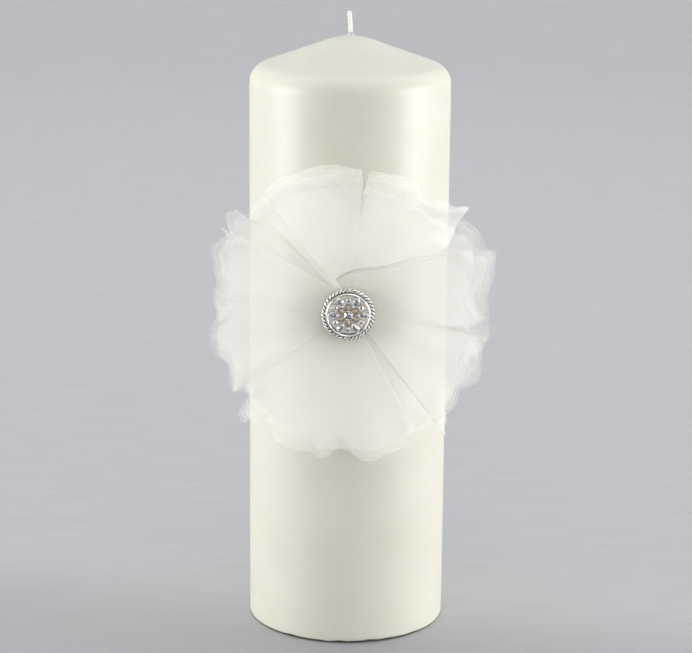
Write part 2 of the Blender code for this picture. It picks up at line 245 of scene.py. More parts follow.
def wax_material():
    s = Surface("ivory_wax")
    cloudy = s.noise(38.0, 4.0)
    colour = s.mix(s.ramp(cloudy, 0.0, 1.0, 0.35, 0.65), rgb(0.612, 0.597, 0.508), rgb(0.632, 0.617, 0.532))
    mould = s.noise(900.0, 2.0)
    ripple = s.noise(60.0, 2.0)
    height = s.math("ADD", s.math("MULTIPLY", mould, 0.12), ripple)
    roughness = s.ramp(s.noise(150.0, 3.0), 0.4, 0.52, 0.3, 0.7)
    shader = s.principled({
        "Base Color": colour, "Roughness": roughness, "IOR": 1.44, "Subsurface Weight": 0.55,
        "Subsurface Radius": (1.0, 0.75, 0.5), "Subsurface Scale": 0.004, "Coat Weight": 0.2,
        "Coat Roughness": 0.3, "Normal": s.bump(height, 0.12, 0.0006)})
    return s.done(shader)


def cotton_material():
    s = Surface("waxed_cotton")
    fibres = s.noise(2600.0, 4.0)
    colour = s.mix(fibres, rgb(0.78, 0.765, 0.71), rgb(0.93, 0.92, 0.88))
    shader = s.principled({
        "Base Color": colour, "Roughness": s.ramp(fibres, 0.5, 0.8), "Subsurface Weight": 0.3,
        "Subsurface Scale": 0.0006, "Sheen Weight": 0.2, "Normal": s.bump(fibres, 0.5, 0.0001)})
    return s.done(shader)


def felt_material():
    s = Surface("ivory_felt")
    fibres = s.noise(1800.0, 6.0, roughness=0.7)
    tufts = s.noise(320.0, 3.0)
    colour = s.mix(s.math("MULTIPLY", fibres, tufts), rgb(0.62, 0.60, 0.54), rgb(0.92, 0.90, 0.84))
    shader = s.principled({
        "Base Color": colour, "Roughness": 0.95, "Sheen Weight": 0.5, "Sheen Roughness": 0.6,
        "Normal": s.bump(fibres, 0.8, 0.0003)})
    return s.done(shader)


def thread_flank(s, net, colour, lean):
    """One flank of the net's round threads. It leans to one side, so it catches the light from there."""
    facing = s.node("NewGeometry").outputs["Normal"]
    leaning = s.node("VectorMath", {0: facing, 1: (lean, 0.0, 0.0)}, operation="ADD").outputs[0]
    leaning = s.node("VectorMath", {0: leaning}, operation="NORMALIZE").outputs[0]
    inputs = {"Height": net, "Strength": 0.25, "Distance": 0.0001, "Normal": leaning}
    normal = s.node("Bump", inputs).outputs["Normal"]
    face = s.principled({
        "Base Color": colour, "Roughness": 0.62, "Sheen Weight": 0.4, "Sheen Roughness": 0.45,
        "Specular IOR Level": 0.35, "Normal": normal})
    through = s.node("BsdfTranslucent", {"Color": colour, "Normal": normal}).outputs[0]
    return s.node("MixShader", {0: 0.2, 1: face, 2: through}).outputs[0]


def tulle_material():
    """Sheer net. Its cut rim and its folds are denser lines, read from the cloth's own flat measurements. Its
    colour is darkened by painted shade towards the button's middle.
    """
    s = Surface("ivory_tulle")
    flat = s.attribute("cloth_mm", "Vector")
    along = s.node("SeparateXYZ", {0: flat}).outputs
    threads = []
    for angle in (0.0, 60.0, 120.0):
        across = s.math("MULTIPLY", along[0], math.cos(math.radians(angle)))
        across = s.math("MULTIPLY_ADD", along[1], math.sin(math.radians(angle)), across)
        wave = s.math("SINE", s.math("MULTIPLY", across, math.tau / NET_PITCH))
        threads.append(s.ramp(wave, 0.0, 1.0, 0.2, 1.0))
    net = s.math("MAXIMUM", s.math("MAXIMUM", threads[0], threads[1]), threads[2])
    uneven = s.noise(0.09, 3.0, flat)
    cover = s.math("MULTIPLY", s.ramp(net, NET_OPEN, NET_THREAD), s.ramp(uneven, 0.92, 1.08, 0.3, 0.7))
    rim = s.ramp(s.attribute("rim_mm"), RIM_COVER, 0.0, 0.12, 0.42)
    fold = s.ramp(s.attribute("fold_mm"), FOLD_COVER, 0.0, 0.1, 0.5)
    cover = s.math("MAXIMUM", cover, s.math("MAXIMUM", rim, fold))
    colour = s.mix(uneven, rgb(0.955, 0.94, 0.885), rgb(0.978, 0.966, 0.92))
    from_eye = s.node("VectorMath", {0: flat}, operation="LENGTH").outputs["Value"]
    # Painted shade: the net's colour darkens towards the button's middle, standing in for the shade among the
    # plies there.
    painted_centre_shade = s.ramp(from_eye, 0.75, 0.0, 4.0, 28.0)
    colour = s.mix(painted_centre_shade, colour, rgb(0.82, 0.80, 0.72))
    flanks = [thread_flank(s, net, colour, lean) for lean in (-THREAD_LEAN, THREAD_LEAN)]
    cloth = s.node("MixShader", {0: 0.5, 1: flanks[0], 2: flanks[1]}).outputs[0]
    gap = s.node("BsdfTransparent").outputs[0]
    return s.done(s.node("MixShader", {0: cover, 1: gap, 2: cloth}).outputs[0])


def silver_material(name, tarnish, roughness, shine=0.9):
    """Plated silver, dark where its `crevice` attribute and the tarnish noise say so."""
    s = Surface(name)
    worn = s.noise(1400.0, 4.0)
    patches = s.math("MULTIPLY_ADD", worn, tarnish, -tarnish / 2)
    deep = s.ramp(s.math("ADD", s.attribute("crevice"), patches), 0.0, 1.0, 0.15, 0.85)
    polished = rgb(shine, shine * 0.98, shine * 0.935)
    colour = s.mix(deep, polished, rgb(0.03, 0.028, 0.026))
    rough = s.ramp(s.noise(700.0, 3.0), roughness, roughness + 0.2, 0.3, 0.7)
    shader = s.principled({
        "Base Color": colour, "Metallic": 1.0, "Roughness": rough, "Normal": s.bump(worn, 0.15, 0.00004)})
    return s.done(shader)


def enamel_material(name, light, dark, speckle):
    s = Surface(name)
    cloud = s.noise(speckle, 4.0)
    colour = s.mix(s.ramp(cloud, 0.0, 1.0, 0.35, 0.65), dark, light)
    shader = s.principled({
        "Base Color": colour, "Roughness": s.ramp(cloud, 0.22, 0.38), "Coat Weight": 0.6,
        "Coat Roughness": 0.08, "Normal": s.bump(cloud, 0.2, 0.00005)})
    return s.done(shader)


def crystal_material():
    """Foil-backed glass with real gloss and coat, and painted reflections: each facet's colour is painted
    between a dark reflection and a bright glint.
    """
    s = Surface("foiled_crystal")
    facet = s.attribute("facet")
    cloud = s.noise(900.0, 2.0)
    # Painted reflection: the facet's value and some noise set how dark or how glinting white its colour is.
    shade = s.math("MULTIPLY_ADD", cloud, 0.12, s.math("SUBTRACT", facet, 0.06))
    painted_reflection = s.ramp(shade, 0.0, 1.0, 0.15, 0.95, False)
    colour = s.mix(painted_reflection, rgb(0.085, 0.092, 0.10), rgb(0.97, 0.975, 0.98))
    shader = s.principled({
        "Base Color": colour, "Metallic": 0.72, "Roughness": s.ramp(cloud, 0.03, 0.08),
        "Coat Weight": 1.0, "Coat Roughness": 0.02, "Coat IOR": 1.55})
    return s.done(shader)


def steel_material(name, light, dark, grain):
    s = Surface(name)
    where = s.node("Mapping", {"Vector": s.place(), "Scale": (grain, grain * 0.06, grain)}).outputs[0]
    brushed = s.noise(1.0, 5.0, where)
    colour = s.mix(brushed, dark, light)
    shader = s.principled({
        "Base Color": colour, "Metallic": 1.0, "Roughness": s.ramp(brushed, 0.22, 0.42),
        "Normal": s.bump(brushed, 0.12, 0.00005)})
    return s.done(shader)


def thread_material():
    s = Surface("sewing_thread")
    twist = s.node("TexWave", {"Vector": s.place(), "Scale": 900.0, "Distortion": 1.5, "Detail": 2.0},
                   bands_direction="DIAGONAL").outputs["Fac"]
    colour = s.mix(twist, rgb(0.70, 0.68, 0.62), rgb(0.93, 0.91, 0.86))
    shader = s.principled({
        "Base Color": colour, "Roughness": 0.7, "Sheen Weight": 0.4, "Normal": s.bump(twist, 0.6, 0.0001)})
    return s.done(shader)


def floor_material():
    """A pale floor with faint streaks, and painted shade that darkens it in front of the candle, most so on
    the left.
    """
    s = Surface("pale_floor")
    where = s.node("Mapping", {"Vector": s.place(), "Scale": (30.0, 160.0, 160.0)}).outputs[0]
    streaks = s.noise(1.0, 4.0, where, 0.6)
    colour = s.mix(s.ramp(streaks, 0.0, 1.0, 0.25, 0.75), rgb(0.59, 0.59, 0.597), rgb(0.62, 0.62, 0.627))
    along = s.node("SeparateXYZ", {0: s.place()}).outputs
    # Painted shade: dark grey mixed in towards the front and the left, standing in for the candle's shadow
    # there.
    near = s.ramp(s.math("MULTIPLY_ADD", along[0], 0.25, along[1]), 0.25, 0.0, -0.05, 0.04)
    colour = s.mix(near, colour, rgb(0.25, 0.25, 0.25))
    return s.done(s.principled({"Base Color": colour, "Roughness": 0.75, "Specular IOR Level": 0.2}))


# ---------------------------------------------------------------- camera, stage and lights


CAMERA_PLACE = (-0.0008, -0.8915, 0.3493)
CAMERA_PITCH = 14.65
CAMERA_ROLL = 0.49
CAMERA_LENS = 123.5
STAGE_RADIUS = 2.4
STAGE_CURVE = 0.9
STAGE_HEIGHT = 2.2
SIDE_POWER = 7.6
TOP_POWER = 3.4
SWEEP_POWER = 11.5
WORLD_STRENGTH = 0.91
FILL_POWER = 7.1
FRONT_POWER = 2.4
BOUNCE_POWER = 0.13
GLOW_POWER = 2.7
LEFT_SHARE = 0.95
SIDE_PLACE = (0.8, -0.2, 0.24)


def add_camera():
    data = bpy.data.cameras.new("photograph_view")
    data.lens = CAMERA_LENS
    data.sensor_width = 36.0
    data.clip_start = 0.01
    camera = bpy.data.objects.new("photograph_view", data)
    bpy.context.scene.collection.objects.link(camera)
    tilt = Matrix.Rotation(math.radians(90 - CAMERA_PITCH), 4, "X")
    roll = Matrix.Rotation(math.radians(CAMERA_ROLL), 4, "Z")
    camera.matrix_world = Matrix.Translation(CAMERA_PLACE) @ tilt @ roll
    bpy.context.scene.camera = camera


def add_stage():
    """A round floor that curves up into a wall on every side, so that each view has the same ground."""
    profile = [(0.0, 0.0), (0.4, 0.0), (STAGE_RADIUS - STAGE_CURVE, 0.0)]
    profile += arc((STAGE_RADIUS - STAGE_CURVE, STAGE_CURVE), STAGE_CURVE, -math.pi / 2, 0.0, 12)[1:]
    profile.append((STAGE_RADIUS, STAGE_HEIGHT))
    sides = 96
    points = []
    for i in range(sides):
        angle = math.tau * i / sides
        points += [(r * math.cos(angle), r * math.sin(angle), z) for r, z in profile]
    mesh = bpy.data.meshes.new("stage")
    mesh.from_pydata(points, [], grid_faces(sides, len(profile), True, False))
    mesh.materials.append(floor_material())
    mesh.shade_smooth()
    stage = bpy.data.objects.new("stage", mesh)
    bpy.context.scene.collection.objects.link(stage)
    return stage


def add_softbox(name, place, target, width, height, power):
    data = bpy.data.lights.new(name, "AREA")
    data.shape = "RECTANGLE"
    data.size = width
    data.size_y = height
    data.energy = power
    light = bpy.data.objects.new(name, data)
    bpy.context.scene.collection.objects.link(light)
    light.location = place
    light.rotation_euler = (Vector(target) - Vector(place)).to_track_quat("-Z", "Y").to_euler()
    light.visible_camera = False
    return light


def light_only(light, pieces):
    """Light linking: the light falls on these pieces and passes the others by."""
    chosen = bpy.data.collections.new(light.name + "_receivers")
    for piece in pieces:
        chosen.objects.link(piece)
    light.light_linking.receiver_collection = chosen


def light_all_but(light, piece):
    """Light linking: the light passes this piece by."""
    left_out = bpy.data.collections.new(light.name + "_left_out")
    left_out.objects.link(piece)
    left_out.collection_objects[0].light_linking.link_state = "EXCLUDE"
    light.light_linking.receiver_collection = left_out


def add_lights(stage, ornament, top_petal):
    """Soft light from the sides, above, the front and low down, with fills for the flower alone."""
    aim = (0.0, 0.0, 0.1)
    aside, forward, height = SIDE_PLACE
    for side, power in ((-1, SIDE_POWER * LEFT_SHARE), (1, SIDE_POWER)):
        light = add_softbox(f"side_{side}", (side * aside, forward, height), aim, 0.5, 0.5, power)
        light_all_but(light, stage)
    add_softbox("overhead", (0.0, 0.1, 1.5), (0.0, 0.0, 0.0), 1.4, 1.2, TOP_POWER)
    add_softbox("sweep", (0.0, 0.7, 2.1), (0.0, 2.1, 0.7), 2.6, 1.2, SWEEP_POWER)
    fill = add_softbox("flower_fill", (0.45, -1.05, 1.05), aim, 1.0, 1.0, FILL_POWER)
    light_only(fill, ornament)
    glow = add_softbox("top_petal_fill", (0.1, -1.1, 0.4), aim, 0.4, 0.4, GLOW_POWER)
    light_only(glow, [top_petal])
    add_softbox("front", (0.25, -1.6, 0.7), aim, 1.6, 1.6, FRONT_POWER)
    bounce = add_softbox("bounce", (0.0, -0.42, 0.06), (0.0, 0.0, 0.04), 0.4, 0.1, BOUNCE_POWER)
    light_all_but(bounce, stage)
    world = bpy.data.worlds.new("studio")
    world.use_nodes = True
    background = world.node_tree.nodes["Background"]
    background.inputs["Color"].default_value = rgb(0.94, 0.955, 1.0)
    background.inputs["Strength"].default_value = WORLD_STRENGTH
    bpy.context.scene.world = world


# ---------------------------------------------------------------- the candle


CONE_RISE = 13.9
SHOULDER_HEIGHT = 217.0
SHOULDER_ROUND = 7.7
TIP_ROUND = 25.0
FOOT_ROUND = 1.2
FOOT_LIFT = 1.0
WAX_CLIMB = 1.5
RECESS_HEIGHT = 0.7
NECK_RADIUS = 2.0
NECK_HEIGHT = 4.2
PIN_BORE = 0.5
WICK_RADIUS = 0.75
WICK_TOP = 238.75
WICK_LEAN = 0.6
WICK_BARE = 9.6
BRAID_PITCH = 3.2
BRAID_WIDTH = 0.36
BRAID_DEPTH = 0.22
STRAND_RADIUS = 0.375
BLOB_RADIUS = 0.62
WAX_SIDES = 240


def wax_profile():
    """The turned outline from the wick's bore over the cone, down the wall and under to the metal foot."""
    half_pi = math.pi / 2
    slope = math.atan2(CONE_RISE, WAX_RADIUS)
    cone_tip = SHOULDER_HEIGHT + CONE_RISE
    tip_centre = (0.0, cone_tip - TIP_ROUND / math.cos(slope))
    bore = WICK_RADIUS * 1.03
    wall_top = SHOULDER_HEIGHT - SHOULDER_ROUND * math.tan((half_pi - slope) / 2)
    points = arc(tip_centre, TIP_ROUND, math.acos(bore / TIP_ROUND), half_pi - slope, 14)
    cone_foot = points[-1]
    shoulder = arc((WAX_RADIUS - SHOULDER_ROUND, wall_top), SHOULDER_ROUND, half_pi - slope, 0.0, 14)
    cone_steps = 12
    for i in range(1, cone_steps):
        share = i / cone_steps
        points.append(tuple(a + (b - a) * share for a, b in zip(cone_foot, shoulder[0])))
    points += shoulder
    wall_steps = 70
    for i in range(1, wall_steps):
        points.append((WAX_RADIUS, wall_top + (FOOT_ROUND - wall_top) * i / wall_steps))
    points += arc((WAX_RADIUS - FOOT_ROUND, FOOT_ROUND), FOOT_ROUND, 0.0, -half_pi, 8)
    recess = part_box("wick_sustainer")[1].x / MM + 0.15
    points += [(WAX_RADIUS * 0.6, 0.0), (recess, 0.0), (recess, RECESS_HEIGHT)]
    points += [(NECK_RADIUS, RECESS_HEIGHT), (NECK_RADIUS, NECK_HEIGHT), (bore, NECK_HEIGHT)]
    bore_steps = 30
    for i in range(1, bore_steps):
        points.append((bore, NECK_HEIGHT + (points[0][1] - NECK_HEIGHT) * i / bore_steps))
    return points


def shape_wax(points):
    """Wax climbs the wick, its wall isn't quite true, and the front of its foot is ragged and lifted."""
    shaped = points.copy()
    for i, (x, y, z) in enumerate(points):
        radius = math.hypot(x, y)
        if z > SHOULDER_HEIGHT and radius < 6.0:
            shaped[i, 2] += WAX_CLIMB * math.exp(-(radius - WICK_RADIUS) / 0.5)
        if radius < 15.0:
            continue
        angle = math.atan2(y, x)
        wobble = noise.noise(Vector((math.cos(angle) * 1.6, math.sin(angle) * 1.6, z / 45.0)))
        wave = math.sin(5 * angle + 0.7) + 0.6 * math.sin(9 * angle + 2.1) + 0.5 * math.sin(14 * angle)
        near_foot = math.exp(-max(z, 0.0) / 2.2)
        growth = 1.0 + (0.05 * wobble - 0.1 * near_foot * (0.5 + 0.25 * wave)) / WAX_RADIUS
        shaped[i, 0] *= growth
        shaped[i, 1] *= growth
        outer = min(1.0, max(0.0, (radius - WAX_RADIUS + 5.0) / 4.0))
        in_front = (0.5 - 0.5 * math.sin(angle)) ** 6
        ragged = 0.75 + 0.12 * wave + 0.14 * math.sin(23 * angle + 1.0) + 0.1 * math.sin(37 * angle)
        shaped[i, 2] += FOOT_LIFT * ragged * (0.05 + 0.95 * in_front) * outer * near_foot
    return shaped


def add_wax(material):
    """The pillar, with a bore for each of the flower's pins."""
    points, faces = lathe(wax_profile()[::-1], WAX_SIDES)
    wax = add_piece("candle_wax", on_candle(shape_wax(points)), faces, material, "candle",
                    ("candle_body",))
    for node in ("ornament_pin_left", "ornament_pin_right"):
        low, high = flower_box(node)
        centre_x = (low.x + high.x) / 2
        depth = low.z - 0.6
        rod_path = [(centre_x, 0.0, level) for level in (depth, depth / 2, 3.0)]
        rod_points, rod_faces = tube(rod_path, [PIN_BORE] * 3, 20)
        mesh = bpy.data.meshes.new("bore")
        mesh.from_pydata([tuple(p) for p in on_flower(rod_points)], [], rod_faces)
        cutter = bpy.data.objects.new("bore", mesh)
        bpy.context.scene.collection.objects.link(cutter)
        cut = wax.modifiers.new("bore", "BOOLEAN")
        cut.operation = "DIFFERENCE"
        cut.object = cutter
        cut.solver = "EXACT"
        bpy.context.view_layer.update()
        apply_modifiers(wax)
        bpy.data.objects.remove(cutter)
    wax.data.set_sharp_from_angle(angle=math.radians(50))


def wick_centre(height):
    """The wick's line: straight up through the wax, and leaning a little to the left above it."""
    free = max(0.0, (height - (WICK_TOP - WICK_BARE)) / WICK_BARE)
    return np.array((-WICK_LEAN * free ** 2, 0.0, height))


def add_wick(material):
    """Three strands braided about each other, waxed together into a blob at the tip."""
    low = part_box("wick")[0].z / MM
    steps = int((WICK_TOP - low) / BRAID_PITCH * 14)
    heights = np.linspace(low, WICK_TOP - 0.35, steps)
    parts = []
    for strand in range(3):
        path = []
        radii = []
        for height in heights:
            turn = math.tau * (height / BRAID_PITCH + strand / 3)
            near_tip = min(1.0, max(0.0, (WICK_TOP - height) / 1.2))
            swell = 1.0 + 0.18 * min(1.0, max(0.0, height - (WICK_TOP - WICK_BARE + 0.5)) / 1.0)
            closeness = (0.35 + 0.65 * math.sqrt(near_tip)) * swell
            side = np.array((BRAID_WIDTH * math.sin(turn), BRAID_DEPTH * math.sin(2 * turn), 0.0))
            path.append(wick_centre(height) + side * closeness)
            radii.append(STRAND_RADIUS * (0.55 + 0.45 * near_tip) * swell)
        parts.append(tube(path, radii, 9))
    blob_path = [wick_centre(WICK_TOP - 1.1 + 0.11 * i) for i in range(11)]
    blob_radii = [BLOB_RADIUS * math.sqrt(max(0.02, 1 - ((i - 4.5) / 5.6) ** 2)) for i in range(11)]
    parts.append(tube(blob_path, blob_radii, 14))
    points, faces = joined(parts)
    add_piece("braided_wick", on_candle(points), faces, material, "candle", ("wick",))


# ---------------------------------------------------------------- the tulle flower


CLOTH_RADIUS = 54.0
CLOTH_EYE = 4.2
CLOTH_RINGS = 44
QUARTER_STEPS = 84
NET_PITCH = 0.62
NET_OPEN = 0.15
NET_THREAD = 0.23
THREAD_LEAN = 0.5
RIM_COVER = 0.36
FOLD_COVER = 0.34
PETAL_BOW = 0.0025
SETTLE_HELD = 12.0
SETTLE_FRAMES = 8
SETTLE_LIMIT = 1.5
RIM_HOLD = 0.05
CLOTH_SETTINGS = {
    "quality": 4,
    "mass": 0.05,
    "tension_stiffness": 15.0,
    "compression_stiffness": 8.0,
    "shear_stiffness": 4.0,
    "bending_stiffness": 0.02,
    "vertex_group_mass": "held",
    "pin_stiffness": 0.6,
}
FOLD_ROUND = 1.6
NOTCH_SIDES = (6.0, 1.2)
RIDGE_SPREAD = 5.0
PLY_INSETS = ((0.0, 4.2, 1.6, 3.0), (2.4, 0.0, 4.6, 1.4), (3.6, 1.2, 0.0, 4.4))
NECK_WIDTH = 1.6
LINE_FADE = 5.0

# Each petal is a circle of tulle folded into quarters. start and end are its two folded edges, each a
# line's direction in degrees and its distance from the button's middle in millimetres. rim lists how far
# its cut edge reaches from there, by direction. slack is how far each of the four creases lies inside the
# edges, in degrees. faint names the creases whose line doesn't show, and lines gives the two radii between
# which the start's and the end's lines show. sweep and bow bend the start fold, and end_sweep the end fold.
# notch is a nick in the cut edge, by direction and depth. ridge is a curled patch, by direction, distance
# and height. steps is how finely a quarter is divided.
PETALS = {
    "back_petal_upper_left": dict(
        start=(80.0, 0.0), end=(177.0, 0.0), level=2.7, rise=2.2, seed=3, faint=(0, 1, 2, 3),
        rim=((80, 43), (88, 47), (96, 53), (110, 54.5), (125, 52.5), (133, 52.5), (139, 54.5), (144, 53),
             (148, 54), (155, 56), (161, 52.5), (168, 50), (177, 51))),
    "back_petal_lower_left": dict(
        start=(174.0, 0.0), end=(266.0, 0.0), level=2.6, rise=2.4, seed=14, faint=(0, 1, 2, 3),
        rim=((174, 50.5), (182, 49.5), (190, 52.5), (198, 53), (206, 50), (215, 53), (221.5, 49.5),
             (223.5, 57.5), (228, 59), (229.5, 51), (240, 52), (258, 53))),
    "back_petal_lower_right": dict(
        start=(262.0, 0.0), end=(354.0, 0.0), level=2.65, rise=2.0, seed=27, faint=(0, 1, 2, 3),
        notch=(351.5, 9.0),
        rim=((267, 53), (285, 54), (300, 53), (317, 54.5), (324, 52.5), (330, 55.5), (336, 55),
             (342, 53), (354, 54))),
    "back_petal_upper_right": dict(
        start=(349.0, 0.0), end=(448.0, 0.0), level=2.75, rise=2.4, seed=31, faint=(0, 1, 2, 3),
        notch=(351.5, 9.0),
        rim=((349, 54), (354, 53), (366, 51.8), (376, 56), (383.4, 59.0), (385.5, 55.5), (388, 56),
             (394, 57), (399, 55.5), (404, 52), (420, 51.5), (438, 50), (448, 43))),
    "front_petal_bottom": dict(
        start=(212.0, 0.0), end=(298.5, -1.0), level=3.75, rise=2.6, seed=45,
        slack=(0.0, -8.0, 0.4, 0.2), faint=(0, 1), lines=((0, 36), (0, 42)),
        rim=((212, 48), (232, 51), (239, 55), (246, 56), (254, 55), (260, 56), (268, 51.5), (277, 57),
             (288, 56), (295, 55.5), (299, 51))),
    "front_petal_right": dict(
        start=(306.5, -1.1), end=(382.0, -8.1), level=3.85, rise=2.6, seed=58,
        end_sweep=(42.0, 13.5, 4.7),
        slack=(0.0, -7.0, 0.6, 0.4), faint=(1, 2), lines=((34, 60), (24, 60)), notch=(351.5, 9.0),
        rim=((307.5, 60.5), (310, 57), (317, 51.5), (324, 49.5), (331, 51), (338, 49.5), (349, 51.5),
             (356, 49), (362, 47.5), (366, 47), (376, 49), (383, 50.5), (389, 52))),
    "front_petal_left": dict(
        start=(141.5, 5.58), end=(216.6, 0.0), level=3.95, rise=2.8, seed=66,
        slack=(0.0, 0.3, 9.0, 0.0), faint=(1, 2), lines=((24, 60), (0, 34)),
        rim=((135.5, 57), (139.5, 59.8), (143.5, 58), (147, 53), (155, 52.5), (161, 50), (166, 47.5),
             (174, 49), (181, 48), (185, 47.5), (192, 50), (198, 50), (204, 49), (210, 50), (217, 53))),
    "front_petal_top": dict(
        start=(43.0, 0.0), end=(128.0, 2.36), level=4.1, rise=3.0, seed=72, steps=170,
        sweep=(75.0, 13.5, 4.7), bow=(-9.0, 39.0, 9.0),
        slack=(0.0, -5.0, 0.5, 0.2), faint=(1, 2), lines=((0, 60), (0, 46)), ridge=(38.0, 43.0, 1.5),
        rim=((43, 59.5), (48, 56), (60, 53.5), (64, 56.5), (72, 56.5), (83.1, 55.5), (83.4, 46.5),
             (84.1, 46.5), (84.4, 55.5), (90, 56.5), (96, 57.5), (103, 58), (110, 57), (119, 57.5),
             (127, 54))),
}


def smooth_between(value, knots):
    """The knots' value there, eased from each knot to the next."""
    places, levels = np.array(knots, float).T
    value = np.clip(value, places[0], places[-1])
    index = np.clip(np.searchsorted(places, value) - 1, 0, len(places) - 2)
    share = (value - places[index]) / (places[index + 1] - places[index])
    eased = (1 - np.cos(np.pi * share)) / 2
    return levels[index] + (levels[index + 1] - levels[index]) * eased


def fold_angle(fold, radius, sweep=None, bow=None):
    """The direction, in degrees, in which a fold line passes that far from the button's middle."""
    direction, offset = fold
    angle = direction - np.degrees(np.arcsin(np.clip(offset / radius, -0.9, 0.9)))
    if sweep:
        size, start, reach = sweep
        angle = angle + size * np.exp(-(radius - start) / reach)
    if bow:
        size, middle, width = bow
        angle = angle + size * np.exp(-((radius - middle) / width) ** 2)
    return angle


def petal_grid(steps):
    """Radius and quarter for each vertex of the flat cloth, closer together at the four creases."""
    even = np.arange(steps) / steps
    share = 0.45 * even + 0.55 * (1 - np.cos(np.pi * even)) / 2
    quarter = np.concatenate([q + share for q in range(4)])
    radius = np.linspace(CLOTH_EYE, CLOTH_RADIUS, CLOTH_RINGS)
    return np.meshgrid(radius, quarter, indexing="ij")


def petal_angle(radius, ply, share, spec):
    """The direction, in degrees, of each point between its ply's two creases."""
    slack = spec.get("slack", (0.5, 0.8, 2.5, 3.0))
    first = fold_angle(spec["start"], radius, spec.get("sweep"), spec.get("bow"))
    last = fold_angle(spec["end"], radius, spec.get("end_sweep"))
    first = np.minimum(first, last - np.degrees(NECK_WIDTH / radius))
    edges = [first + slack[0], last - slack[1], first + slack[2], last - slack[3]]
    near = np.choose(ply, edges)
    far = np.choose(ply, edges[1:] + edges[:1])
    return near + (far - near) * share


def petal_reach(angle, ply, share, spec, random):
    """How far the cut edge lies from the button's middle, with its lobes and its notch."""
    middle = np.sin(np.pi * share)
    inset = np.choose(ply, PLY_INSETS[random.integers(0, len(PLY_INSETS))]) * np.sqrt(middle)
    waves = np.choose(ply, list(random.uniform(11, 19, 4)))
    starts = np.choose(ply, list(random.uniform(0, math.tau, 4)))
    lobes = np.abs(np.sin(np.radians(angle) * waves + starts)) - 0.64
    reach = smooth_between(angle, spec["rim"]) - inset + (0.6 + 0.45 * inset) * lobes * middle
    if "notch" in spec:
        direction, depth = spec["notch"]
        beside = (angle - direction) / np.where(angle > direction, NOTCH_SIDES[0], NOTCH_SIDES[1])
        reach = reach - np.where(ply == 3, 0.0, depth * np.clip(1 - np.abs(beside), 0, 1))
    return reach


def ply_level(radius, ply, share):
    """Each point's place in the stack of plies, rounded where one ply turns into the next."""
    depth = [1.0, 2.0, 3.0, 0.0]
    at_crease = [0.5, 1.5, 2.5, 1.5]
    before = (np.choose(ply, at_crease), share)
    after = (np.choose(ply, at_crease[1:] + at_crease[:1]), 1 - share)
    level = np.choose(ply, depth)
    for crease, along in (before, after):
        closeness = np.clip(1 - radius * along * (np.pi / 2) / FOLD_ROUND, 0, 1)
        level = level + (crease - np.choose(ply, depth)) * (1 - np.sqrt(1 - closeness ** 2))
    return level


def petal_shape(radius, quarter, spec):
    """Where each point of the flat circle lies once it is folded into quarters, in the flower's axes."""
    random = np.random.default_rng(spec["seed"])
    ply = np.floor(quarter).astype(int) % 4
    share = quarter - np.floor(quarter)
    out = radius / CLOTH_RADIUS
    middle = np.sin(np.pi * share)
    angle = petal_angle(radius, ply, share, spec)
    reach = petal_reach(angle, ply, share, spec, random)
    plan = radius * (1 + (reach / CLOTH_RADIUS - 1) * out ** 2)
    level = ply_level(radius, ply, share)
    spacing = 0.1 + 0.62 * out ** 1.4 * (0.5 + 0.5 * middle)

    turn = np.radians(angle)
    x = plan * np.cos(turn)
    y = plan * np.sin(turn)
    shared_wave = sum(
        random.uniform(0.12, 0.3) * np.sin(np.radians(angle) * waves + random.uniform(0, math.tau))
        for waves in (7.0, 11.0, 17.0))
    own_wave = np.sin(share * random.uniform(5, 9) + np.choose(ply, list(random.uniform(0, 6, 4))))
    z = spec["level"] + spacing * level + spec["rise"] * out ** 2 - PETAL_BOW * x ** 2
    z = z + shared_wave * out ** 1.6 + 0.3 * own_wave * middle * out ** 1.5
    if "ridge" in spec:
        direction, distance, height = spec["ridge"]
        beside = np.hypot((angle - direction) / RIDGE_SPREAD, (plan - distance) / RIDGE_SPREAD)
        z = z + height * np.exp(-beside ** 2)
    return np.stack([x, y, z], axis=-1)


def fold_lines(radius, quarter, spec):
    """Each point's distance from its nearest crease in the flat cloth, and more where it's faint."""
    ply = np.floor(quarter).astype(int)
    share = quarter - ply
    crease = (ply + (share > 0.5)) % 4
    distance = radius * np.sin(np.minimum(share, 1 - share) * math.pi / 2)
    faintness = np.isin(crease, spec["faint"]).astype(float)
    if "lines" in spec:
        for side, (inner, outer) in enumerate(spec["lines"]):
            outside = np.maximum(inner - radius, radius - outer) / LINE_FADE
            faintness = np.where(crease % 2 == side, np.maximum(faintness, np.clip(outside, 0, 1)), faintness)
    return distance + 0.5 * faintness


def add_petal(node, spec, material):
    """One folded circle of tulle. It carries its flat measurements for the tulle's material to read."""
    steps = spec.get("steps", QUARTER_STEPS)
    radius, quarter = petal_grid(steps)
    points = petal_shape(radius, quarter, spec).reshape(-1, 3)
    faces = grid_faces(CLOTH_RINGS, 4 * steps, False, True)
    petal = add_piece("tulle_" + node, on_flower(points), faces, material, "ornament", (node,))
    turn = quarter * math.pi / 2
    flat = np.stack([radius * np.cos(turn), radius * np.sin(turn), np.zeros_like(radius)], axis=-1)
    add_vectors(petal, "cloth_mm", flat.reshape(-1, 3))
    add_attribute(petal, "rim_mm", CLOTH_RADIUS - radius)
    add_attribute(petal, "fold_mm", fold_lines(radius, quarter, spec))
    settle(petal, radius.ravel())
    return petal


